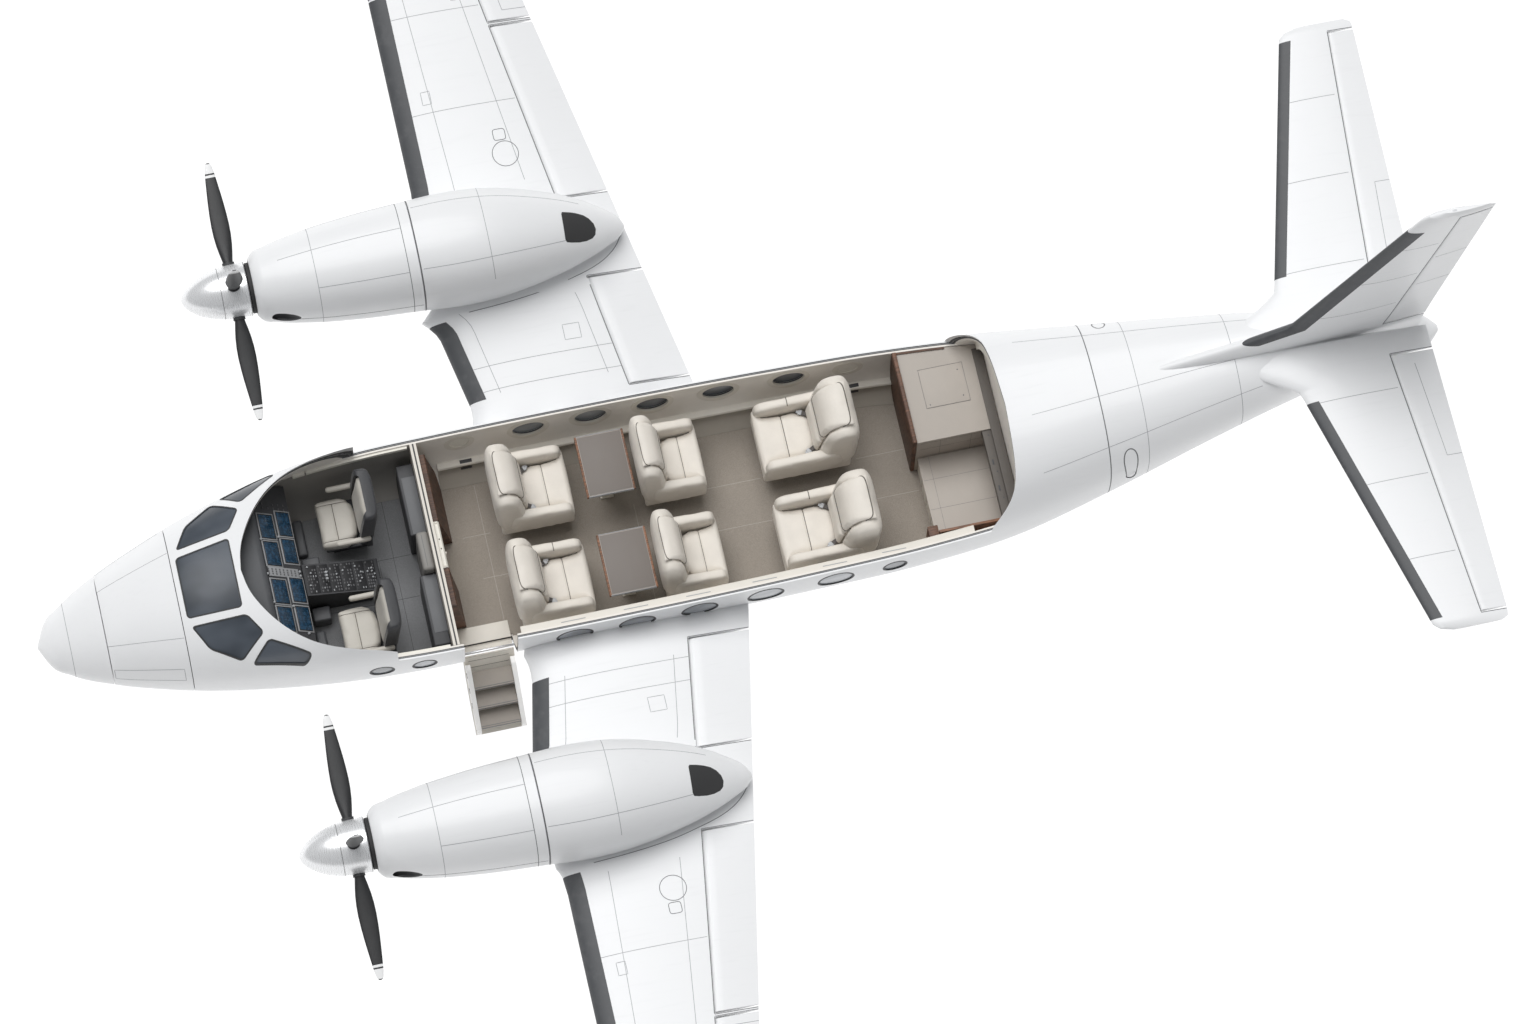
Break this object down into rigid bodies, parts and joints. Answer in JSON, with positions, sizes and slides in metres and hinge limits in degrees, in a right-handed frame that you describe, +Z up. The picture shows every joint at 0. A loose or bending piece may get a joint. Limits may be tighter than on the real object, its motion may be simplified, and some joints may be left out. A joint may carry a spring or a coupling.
{
  "type": "twin turboprop aircraft",
  "caption": "Low-wing business turboprop with its cabin roof cut away, parked on its wheels, airstair down; propellers, wheels, flaps and control surfaces turn",
  "frame": {"origin": "middle of the underside of the overall box, on the ground", "axes": "+X to the port wing tip, +Y to the tail, +Z up"},
  "size_m": [14.4, 12.92, 5.03],
  "materials": {
    "white_paint": "gloss",
    "white_light_alloy": "gloss",
    "polished_metal": "polished",
    "tinted_glass": "polished",
    "cream_leather": "satin",
    "charcoal_trim": "matte",
    "carpet": "matte",
    "cockpit_mat": "matte",
    "walnut": "gloss",
    "taupe_laminate": "satin",
    "cream_panel": "satin",
    "tyre_rubber": "matte",
    "rim_metal": "satin",
    "strut_metal": "satin",
    "engine_metal": "matte"
  },
  "bodies": {
    "airframe": {"radome": "white_paint", "nose_bay": "white_paint", "fuselage_shell": "white_paint", "tail_cone": "white_light_alloy", "fin": "white_light_alloy", "stabilizer_port": "white_light_alloy", "stabilizer_starboard": "white_light_alloy", "wing_port": "white_light_alloy", "wing_starboard": "white_light_alloy", "nacelle_port": "white_paint", "nacelle_starboard": "white_paint", "cowl_port": "white_paint", "cowl_starboard": "white_paint", "windshield": "tinted_glass", "cabin_floor": "carpet", "cockpit_floor": "cockpit_mat", "partition": "walnut", "galley_cabinet": "walnut", "aft_bench": "taupe_laminate", "table_port": "taupe_laminate", "table_starboard": "taupe_laminate", "instrument_panel": "charcoal_trim", "center_pedestal": "charcoal_trim", "engine_port": "engine_metal", "engine_starboard": "engine_metal", "main_leg_port": "strut_metal", "main_leg_starboard": "strut_metal", "nose_leg": "strut_metal", "seat_pilot": "cream_leather", "seat_copilot": "cream_leather", "seat_row1_port": "cream_leather", "seat_row1_starboard": "cream_leather", "seat_row2_port": "cream_leather", "seat_row2_starboard": "cream_leather", "seat_row3_port": "cream_leather", "seat_row3_starboard": "cream_leather"},
    "propeller_port": {"propeller_port": "polished_metal"},
    "propeller_starboard": {"propeller_starboard": "polished_metal"},
    "main_wheel_port": {"main_port_tyre": "tyre_rubber", "main_port_rim": "rim_metal"},
    "main_wheel_starboard": {"main_starboard_tyre": "tyre_rubber", "main_starboard_rim": "rim_metal"},
    "nose_fork": {"nose_fork": "strut_metal"},
    "nose_wheel": {"nose_tyre": "tyre_rubber", "nose_rim": "rim_metal"},
    "airstair": {"airstair_door": "white_paint", "airstair_steps": "cream_panel"},
    "rudder": {"rudder": "white_light_alloy"},
    "aileron_port": {"aileron_port": "white_light_alloy"},
    "flap_inboard_port": {"flap_inboard_port": "white_light_alloy"},
    "flap_outboard_port": {"flap_outboard_port": "white_light_alloy"},
    "elevator_port": {"elevator_port": "white_light_alloy"},
    "aileron_starboard": {"aileron_starboard": "white_light_alloy"},
    "flap_inboard_starboard": {"flap_inboard_starboard": "white_light_alloy"},
    "flap_outboard_starboard": {"flap_outboard_starboard": "white_light_alloy"},
    "elevator_starboard": {"elevator_starboard": "white_light_alloy"}
  },
  "joints": [
    {"name": "propeller_turn_port", "type": "hinge", "parent": "airframe", "child": "propeller_port", "pos_m": [2.64, -4.13, 1.9], "axis": [0, -1, 0], "continuous": true},
    {"name": "main_wheel_turn_port", "type": "hinge", "parent": "airframe", "child": "main_wheel_port", "pos_m": [2.74, -1.51, 0.33], "axis": [1, 0, 0], "continuous": true},
    {"name": "propeller_turn_starboard", "type": "hinge", "parent": "airframe", "child": "propeller_starboard", "pos_m": [-2.64, -4.13, 1.9], "axis": [0, -1, 0], "continuous": true},
    {"name": "main_wheel_turn_starboard", "type": "hinge", "parent": "airframe", "child": "main_wheel_starboard", "pos_m": [-2.74, -1.51, 0.33], "axis": [1, 0, 0], "continuous": true},
    {"name": "nose_steer", "type": "hinge", "parent": "airframe", "child": "nose_fork", "pos_m": [0, -4.91, 0.55], "axis": [0, 0, 1], "range_deg": [-35, 35]},
    {"name": "nose_wheel_turn", "type": "hinge", "parent": "nose_fork", "child": "nose_wheel", "pos_m": [0, -4.88, 0.24], "axis": [1, 0, 0], "continuous": true},
    {"name": "airstair_swing", "type": "hinge", "parent": "airframe", "child": "airstair", "pos_m": [0.805, -2.56, 0.935], "axis": [0, -1, 0], "range_deg": [0, 118]},
    {"name": "aileron_port_swing", "type": "hinge", "parent": "airframe", "child": "aileron_port", "pos_m": [5.82, -1.50374, 1.81609], "axis": [-0.9826, 0.1543, -0.1033], "range_deg": [-20, 20]},
    {"name": "flap_inboard_port_swing", "type": "hinge", "parent": "airframe", "child": "flap_inboard_port", "pos_m": [1.745, -0.86397, 1.38779], "axis": [-0.9826, 0.1543, -0.1033], "range_deg": [0, 35]},
    {"name": "flap_outboard_port_swing", "type": "hinge", "parent": "airframe", "child": "flap_outboard_port", "pos_m": [3.88, -1.19916, 1.61219], "axis": [-0.9826, 0.1543, -0.1033], "range_deg": [0, 35]},
    {"name": "elevator_port_swing", "type": "hinge", "parent": "airframe", "child": "elevator_port", "pos_m": [1.55, 5.82266, 2.48378], "axis": [-0.997, -0.0764, -0.0127], "range_deg": [-25, 20]},
    {"name": "aileron_starboard_swing", "type": "hinge", "parent": "airframe", "child": "aileron_starboard", "pos_m": [-5.82, -1.50374, 1.81609], "axis": [-0.9826, -0.1543, 0.1033], "range_deg": [-20, 20]},
    {"name": "flap_inboard_starboard_swing", "type": "hinge", "parent": "airframe", "child": "flap_inboard_starboard", "pos_m": [-1.745, -0.86397, 1.38779], "axis": [-0.9826, -0.1543, 0.1033], "range_deg": [0, 35]},
    {"name": "flap_outboard_starboard_swing", "type": "hinge", "parent": "airframe", "child": "flap_outboard_starboard", "pos_m": [-3.88, -1.19916, 1.61219], "axis": [-0.9826, -0.1543, 0.1033], "range_deg": [0, 35]},
    {"name": "elevator_starboard_swing", "type": "hinge", "parent": "airframe", "child": "elevator_starboard", "pos_m": [-1.55, 5.82266, 2.48378], "axis": [-0.997, 0.0764, 0.0127], "range_deg": [-25, 20]},
    {"name": "rudder_swing", "type": "hinge", "parent": "airframe", "child": "rudder", "pos_m": [0, 5.9478, 3.745], "axis": [0, 0.1868, 0.9824], "range_deg": [-25, 25]}
  ],
  "couplings": [
    {"joint": "aileron_starboard_swing", "follows": "aileron_port_swing", "ratio": -1},
    {"joint": "flap_inboard_starboard_swing", "follows": "flap_inboard_port_swing", "ratio": 1},
    {"joint": "flap_outboard_port_swing", "follows": "flap_inboard_port_swing", "ratio": 1},
    {"joint": "flap_outboard_starboard_swing", "follows": "flap_inboard_port_swing", "ratio": 1},
    {"joint": "elevator_starboard_swing", "follows": "elevator_port_swing", "ratio": 1}
  ]
}
